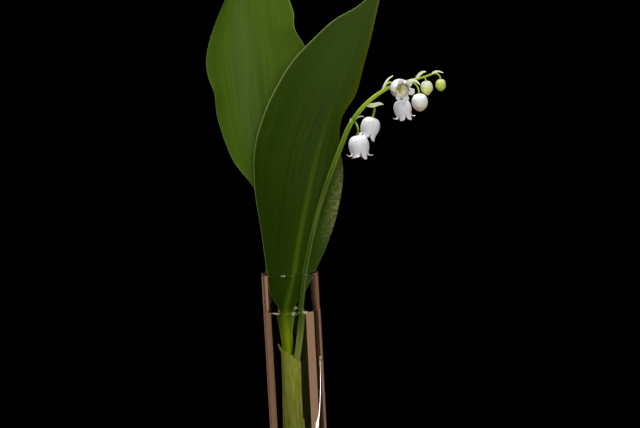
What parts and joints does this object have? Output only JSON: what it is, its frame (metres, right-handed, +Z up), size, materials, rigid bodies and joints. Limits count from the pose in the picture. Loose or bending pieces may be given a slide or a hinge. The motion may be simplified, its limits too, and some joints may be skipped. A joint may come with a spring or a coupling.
{
  "type": "lily of the valley in a glass tube vase",
  "caption": "Cut lily of the valley shoot, leaves and a nodding stalk of white bells and buds, standing in a clear round glass tube of water.",
  "frame": {"origin": "centre of the glass tube's flat base", "axes": "+Z up along the tube, +X towards the nodding flowers, -Y towards the side the picture shows"},
  "size_m": [0.1021, 0.0656, 0.2682],
  "materials": {
    "glass": "clear drawn glass, polished, melted rim",
    "water": "clear still water",
    "sheath": "satin, fine pale lengthwise veins",
    "leaf_upper": "satin, waxy, fine parallel veins, thin pale margin",
    "leaf_lower": "satin, waxy, fine parallel veins, thin pale margin",
    "stalk": "satin, smooth, ribbed lengthwise",
    "petal": "matt to satin, waxy white",
    "heart": "matt",
    "bud_white": "satin, waxy white",
    "bud_pale": "satin, greenish white",
    "bud_green": "satin, yellow-green"
  },
  "bodies": {
    "root": {"vase": "glass", "water": "water", "sheath_outer": "sheath", "sheath_inner": "sheath", "leaf_back": "leaf_upper", "leaf_front": "leaf_lower", "scape": "stalk", "flower_1": "petal", "heart_1": "heart", "flower_2": "petal", "heart_2": "heart", "flower_3": "petal", "heart_3": "heart", "flower_4": "petal", "heart_4": "heart", "bud_5": "bud_white", "bud_6": "bud_pale", "bud_7": "bud_green"}
  },
  "joints": []
}
